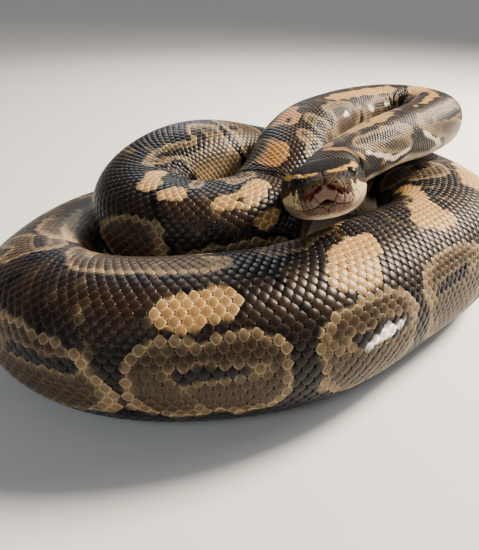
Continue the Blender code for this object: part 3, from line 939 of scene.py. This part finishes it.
# How much of the lighter rim each ring of a scale gets: partly the scales' own paler edges, partly
# painted sheen
RING_LIGHT = (0.0, TOP_SHARE, 1.0, 0.0)
ROOT_DEPTH = COAT_DEPTH + 0.012
UV_EDGE, PATCH_HALF = 0.02, 0.0015
# The rows across a belly plate: (along, in pitches; depth; how light its edge is, partly painted sheen)
PLATE_ROWS = [
    (-0.05, 0.040, 0.6), (0.35, 0.028, 0.0), (0.75, 0.018, 0.2), (1.12, 0.012, 1.0),
    (1.14, COAT_DEPTH + 0.01, 1.0), (-0.07, COAT_DEPTH + 0.01, 0.6),
]
PLATE_COLUMNS = 15
PLATE_PITCH, PLATE_SHORTEST, PLATE_BOW = 0.19, 0.10, 0.25
PLATE_TUCK = 3.2         # degrees by which the plates reach under the scales
PLATES_START, PLATES_LEFT = -0.3, 0.7      # where the first is, and how far off the tip the last


def scale_stamp():
    """One scale's places in its own measure, (along, across, ring), and its faces."""
    x, y = squircle(2 * math.pi * np.arange(RIM) / RIM, SCALE_SHAPE)
    along = np.concatenate([[0.06], x * TOP_SHARE, x, x * 0.98])
    across = np.concatenate([[0.0], y * TOP_SHARE, y, y * 0.98])
    ring = np.repeat([0, 1, 2, 3], [1, RIM, RIM, RIM])
    k = np.arange(RIM)
    n = (k + 1) % RIM
    top = np.column_stack([np.zeros(RIM, int), 1 + k, 1 + n])
    slope = np.column_stack([1 + k, 1 + RIM + k, 1 + RIM + n, 1 + n])
    under = (1 + 2 * RIM + k[::-1])[None]
    return along, across, ring, (top, slope, slope + RIM, under)


def lattice(first, last):
    """The middle of every scale between two places: (s, phi, pitch, width)."""
    spots = []
    s = COAT_START
    odd = False
    while s < SCALE_ROWS[-1][0]:
        radius = float(body.radius(s))
        pitch = max(SCALE_PITCH * radius, min(NECK_PITCH * radius, NECK_LONGEST), SHORTEST)
        if first <= s < last:
            rows = next(count for end, count in SCALE_ROWS if s < end)
            width = 2 * (180.0 - BELLY_HALF) / rows
            phi = -(180.0 - BELLY_HALF) + (np.arange(1 if odd else 0, rows, 2) + 0.5) * width
            spots += [(s, angle, pitch, width) for angle in phi]
        s += pitch / 2
        odd = not odd
    return np.array(spots)


def unwrap(share):
    """A place on the unwrap, kept clear of its edges."""
    return UV_EDGE + (1 - 2 * UV_EDGE) * share


def make_scales(name, first, last, material):
    """The scales of one length of the body, each a solid pillow that rises to its back edge."""
    at, angle, pitch, width = lattice(first, last).T
    count = len(at)
    chance = np.random.default_rng(len(name) + int(last * 7))
    wobble = chance.normal(0, 1, (count, 4)).T
    along, across, ring, faces = scale_stamp()
    s0 = at + UNEVEN * pitch * wobble[0]
    phi0 = angle + UNEVEN * width * wobble[1]
    half_long = 0.5 * pitch * LONG_SHARE * (1 + UNEVEN * wobble[2])
    half_wide = width * WIDE_SHARE * (1 + UNEVEN * wobble[3])

    def places(share):
        """Where every scale's points are, drawn in to a share of its size."""
        return ((s0[:, None] + share * half_long[:, None] * along).ravel(),
                (phi0[:, None] + share * half_wide[:, None] * across).ravel())

    s, phi = places(1.0)
    here, normal = body.point_and_normal(s, phi)
    size = ((pitch / FULL_PITCH) ** 0.6)[:, None]
    depth = FRONT_DEPTH - BACK_RISE * (along + 1) / 2 - np.array(RING_RISE)[ring]
    depth = LEAST_DEPTH + size * depth + 0.012 * fade(0, 1, size)
    depth = np.where(ring == 3, ROOT_DEPTH, depth)
    points = above_floor(here - depth.reshape(-1)[:, None] * normal)
    colour = markings(*places(COLOUR_SHARE))
    nape = s < SCALE_BANDS_END
    if nape.any():
        colour[nape] = blend_to_head(colour[nape], body.to_head(here[nape]))
    tone = 1 + 0.07 * chance.normal(0, 1, count)
    colour *= np.clip(np.repeat(tone, len(along)), 0.7, 1.3)[:, None]
    rim = np.array(RING_LIGHT)[ring]
    u0 = unwrap((at - first) / (last - first))
    v0 = unwrap((angle + 180.0) / 360.0)
    uv = np.column_stack([(u0[:, None] + PATCH_HALF * along).ravel(),
                          (v0[:, None] + PATCH_HALF * across).ravel()])
    return make_mesh(name, points, repeat_faces(faces, count, len(along)), material, colour, uv,
                     {"rim": np.tile(rim, count)})


def make_belly_plates(material):
    """The wide plates of the belly, each overlapping the next."""
    along, depth, rim = np.repeat(PLATE_ROWS, PLATE_COLUMNS, axis=0).T
    rows = len(PLATE_ROWS)
    across = np.tile(np.linspace(-1, 1, PLATE_COLUMNS), rows)
    phi = 180.0 + (BELLY_HALF + PLATE_TUCK) * across
    patch = PATCH_HALF * np.column_stack([np.repeat(np.linspace(-1, 1, rows), PLATE_COLUMNS),
                                          across])
    points, colours, uvs = [], [], []
    s = PLATES_START
    while s < body.length - PLATES_LEFT:
        pitch = max(PLATE_PITCH * float(body.radius(s)), PLATE_SHORTEST)
        at = s + pitch * along
        here, normal = body.point_and_normal(at - PLATE_BOW * pitch * across ** 2, phi)
        points.append(above_floor(here - depth[:, None] * normal))
        colours.append(markings(at, (phi + 180.0) % 360.0 - 180.0))
        uvs.append(np.array([unwrap((s + 1) / (body.length + 2)), 0.5]) + patch)
        s += pitch
    count = len(points)
    index = np.arange(len(along)).reshape(rows, PLATE_COLUMNS)
    after = np.roll(index, -1, axis=0)
    quads = np.stack([index[:, :-1], index[:, 1:], after[:, 1:], after[:, :-1]], -1)
    ends = np.array([index[::-1, 0], index[:, -1]])
    faces = repeat_faces((quads.reshape(-1, 4), ends), count, len(along))
    return make_mesh("scales_belly", np.concatenate(points), faces, material,
                     np.concatenate(colours), np.concatenate(uvs), {"rim": np.tile(rim, count)})


# --- Materials
def new_material(name, roughness, colour=(0.8, 0.8, 0.8), gloss=0.3):
    material = bpy.data.materials.new(name)
    material.use_nodes = True
    shader = material.node_tree.nodes["Principled BSDF"]
    shader.inputs["Base Color"].default_value = (*colour, 1.0)
    shader.inputs["Roughness"].default_value = roughness
    shader.inputs["Specular IOR Level"].default_value = gloss
    return material, material.node_tree, shader


def add_node(tree, kind, output, inputs=None, **settings):
    """A node's output socket. Each of its inputs is given a value, or a socket to link from."""
    node = tree.nodes.new(kind)
    for key, value in settings.items():
        setattr(node, key, value)
    for key, value in (inputs or {}).items():
        if isinstance(value, bpy.types.NodeSocket):
            tree.links.new(value, node.inputs[key])
        else:
            node.inputs[key].default_value = value
    return node.outputs[output]


def scaly_material(name, roughness, grain, rim_gain, gloss):
    """Markings from the mesh, cloudy tone, lighter rims (partly the scales' own paler edges, partly a
    painted sheen on them), fine relief and an uneven gloss.
    """
    material, tree, shader = new_material(name, roughness, gloss=gloss)
    place = add_node(tree, "ShaderNodeTexCoord", "Object")

    def noise(scale, **more):
        inputs = {"Vector": place, "Scale": scale, **more}
        return add_node(tree, "ShaderNodeTexNoise", "Fac", inputs)

    def spread(value, low, high):
        inputs = {"Value": value, "To Min": low, "To Max": high}
        return add_node(tree, "ShaderNodeMapRange", "Result", inputs)

    def mixed(factor, first, second, blend="MIX"):
        return add_node(tree, "ShaderNodeMix", 2, {0: factor, 6: first, 7: second},
                        data_type="RGBA", blend_type=blend)

    seen = add_node(tree, "ShaderNodeAttribute", "Color", attribute_name="markings")
    tone = spread(noise(420.0, Detail=3.0), 0.74, 1.26)
    colour = mixed(1.0, seen, tone, "MULTIPLY")
    if rim_gain:
        rim = add_node(tree, "ShaderNodeAttribute", "Fac", attribute_name="rim")
        share = add_node(tree, "ShaderNodeMapRange", "Result",
                         {"Value": rim, "From Min": 0.58, "From Max": 0.88, "To Max": rim_gain},
                         interpolation_type="SMOOTHSTEP")
        # Lighter, cooler rims: partly the scales' own paler edges, partly a painted sheen of cool light
        # on them
        light = mixed(1.0, colour, (2.4, 2.7, 3.1, 1.0), "MULTIPLY")
        colour = mixed(share, colour, light)
    rough = spread(noise(900.0), roughness - 0.08, roughness + 0.12)
    relief = add_node(tree, "ShaderNodeBump", "Normal", {
        "Strength": 0.22, "Distance": 0.0002, "Height": noise(grain, Detail=4.0)})
    for key, socket in (("Base Color", colour), ("Roughness", rough), ("Normal", relief)):
        tree.links.new(socket, shader.inputs[key])
    return material


def eye_material():
    """Markings from the mesh under a clear, wet gloss."""
    material, tree, shader = new_material("eye_look", 0.05, gloss=0.12)
    seen = add_node(tree, "ShaderNodeAttribute", "Color", attribute_name="markings")
    tree.links.new(seen, shader.inputs["Base Color"])
    return material


# --- Eyes
IRIS = np.array((0.022, 0.016, 0.012))
PUPIL = np.array((0.004, 0.004, 0.005))
PUPIL_WIDE, PUPIL_TALL = 0.17, 0.62      # in radii of the eye
GAZE_TURN, GAZE_RISE = -28.0, -12.0
EYE_ROWS, EYE_COLUMNS = 48, 64


def make_eye(name, node, side, material):
    """A round eye with an upright slit of a pupil."""
    lat = np.pi * np.arange(1, EYE_ROWS) / EYE_ROWS
    lon = 2 * np.pi * np.arange(EYE_COLUMNS) / EYE_COLUMNS
    a, b = np.meshgrid(lat, lon, indexing="ij")
    # The pole of the ball points out of the head.
    out = np.stack([np.cos(a), np.sin(a) * np.cos(b), np.sin(a) * np.sin(b)], -1).reshape(-1, 3)
    out = np.concatenate([[[1.0, 0, 0]], out, [[-1.0, 0, 0]]])
    gaze = (Matrix.Rotation(math.radians(GAZE_TURN), 3, "Z")
            @ Matrix.Rotation(math.radians(GAZE_RISE), 3, "Y"))
    ball = out @ np.array(gaze).T
    slit = np.hypot(out[:, 1] / PUPIL_WIDE, out[:, 2] / PUPIL_TALL)
    ring = np.hypot(out[:, 1], out[:, 2])
    iris = IRIS * (0.55 + 0.9 * smooth(0.2, 0.75, ring))[:, None]
    iris = iris * (1 - 0.7 * smooth(0.72, 0.9, ring))[:, None]
    colour = mix(PUPIL, iris, smooth(0.9, 1.08, slit))
    colour[out[:, 0] < 0.1] = HEAD_BLACK
    ball[:, 0] *= side
    points = body.to_world(np.array(EYE_PLACE) * (side, 1, 1) + EYE_RADIUS * ball)
    grid = 1 + np.arange((EYE_ROWS - 1) * EYE_COLUMNS).reshape(EYE_ROWS - 1, EYE_COLUMNS)
    after = np.roll(grid, -1, axis=1)
    quads = np.stack([grid[:-1], grid[1:], after[1:], after[:-1]], -1).reshape(-1, 4)
    front = np.column_stack([np.zeros(EYE_COLUMNS, int), grid[0], after[0]])
    rear = np.column_stack([np.full(EYE_COLUMNS, len(points) - 1), after[-1], grid[-1]])
    faces = [quads, np.concatenate([front, rear])]
    if side < 0:
        faces = [f[:, ::-1] for f in faces]
    eye = make_mesh(name, points, faces, material, colour)
    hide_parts(node)
    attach(eye, "root")


# --- The scene
CAMERA_PLACE = (-HEAP_MIDDLE[0], -13.0 - HEAP_MIDDLE[1], 12.1)
CAMERA_TILT = 60.0
SENSOR = 36.0
FOCAL_SHARE = 10 / 11     # the focal length, in widths of the sensor
# The soft lights: (name, place, size, watts, colour), all aimed at the heart of the heap
LAMPS = [
    ("key", (0.52, 0.22, 0.52), 0.22, 24.0, (1.0, 0.87, 0.70)),
    ("fill", (-0.24, -0.65, 0.58), 0.32, 1.4, (0.88, 0.94, 1.0)),
    ("back", (-0.10, 0.70, 0.50), 0.4, 2.2, (0.90, 0.95, 1.0)),
]
LAMP_TARGET = (0, 0, 0.03)
SUN_WAY, SUN_STRENGTH, SUN_SPREAD, SUN_COLOUR = (-0.8, -0.35, -0.5), 0.9, 24.0, (1.0, 0.96, 0.90)
FLOOR_HALF = 8.0


def make_camera():
    data = bpy.data.cameras.new("camera")
    data.sensor_width = SENSOR
    data.lens = SENSOR * FOCAL_SHARE
    data.clip_start = 0.01
    camera = add_object("camera", data)
    camera.location = [CM * c for c in CAMERA_PLACE]
    camera.rotation_euler = (math.radians(CAMERA_TILT), 0.0, 0.0)
    bpy.context.scene.camera = camera


def make_light(name, kind, way, power, colour, place=(0, 0, 0)):
    """A light that shines one way; returns its data."""
    data = bpy.data.lights.new(name, kind)
    data.energy = power
    data.color = colour
    light = add_object(name, data)
    light.location = place
    light.rotation_euler = Vector(way).to_track_quat("-Z", "Y").to_euler()
    return data


def make_lights():
    sun = make_light("daylight", "SUN", SUN_WAY, SUN_STRENGTH, SUN_COLOUR)
    sun.angle = math.radians(SUN_SPREAD)
    for name, place, size, power, colour in LAMPS:
        way = Vector(LAMP_TARGET) - Vector(place)
        lamp = make_light(name, "AREA", way, power, colour, place)
        lamp.shape = "DISK"
        lamp.size = size


def make_world():
    """An even pale glow, weaker from above than from the sides."""
    world = bpy.data.worlds.new("studio")
    bpy.context.scene.world = world
    world.use_nodes = True
    tree = world.node_tree
    shade = tree.nodes["Background"]
    shade.inputs["Color"].default_value = (0.92, 0.95, 1.0, 1.0)
    place = add_node(tree, "ShaderNodeTexCoord", "Generated")
    height = add_node(tree, "ShaderNodeSeparateXYZ", "Z", {"Vector": place})
    glow = add_node(tree, "ShaderNodeMapRange", "Result", {
        "Value": height, "From Min": 0.10, "From Max": 0.35, "To Min": 0.42, "To Max": 0.15})
    tree.links.new(glow, shade.inputs["Strength"])


def make_floor():
    mesh = bpy.data.meshes.new("floor")
    corners = [(-1, -1), (1, -1), (1, 1), (-1, 1)]
    mesh.from_pydata([(FLOOR_HALF * x, FLOOR_HALF * y, 0) for x, y in corners], [],
                     [(0, 1, 2, 3)])
    mesh.materials.append(new_material("floor_pale", 0.8, (0.78, 0.77, 0.75))[0])
    floor = add_object("floor", mesh)


def main():
    make_camera()
    make_world()
    make_floor()
    make_lights()
    fill_unseen(MARKS)
    skin_look = scaly_material("skin_look", roughness=0.48, grain=2600.0, rim_gain=0.0, gloss=0.05)
    scale_look = scaly_material("scale_look", roughness=0.31, grain=3200.0, rim_gain=0.90, gloss=0.18)
    skin = make_skin(skin_look)
    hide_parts(*FLESH)
    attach(skin, "root")
    start = COAT_START
    for name, end in PIECES:
        coat = make_scales("scales_" + name, start, end, scale_look)
        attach(coat, "root")
        start = end
    belly = make_belly_plates(scale_look)
    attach(belly, "root")
    eye_look = eye_material()
    make_eye("eyeball_left", "eye_left", 1, eye_look)
    make_eye("eyeball_right", "eye_right", -1, eye_look)


main()
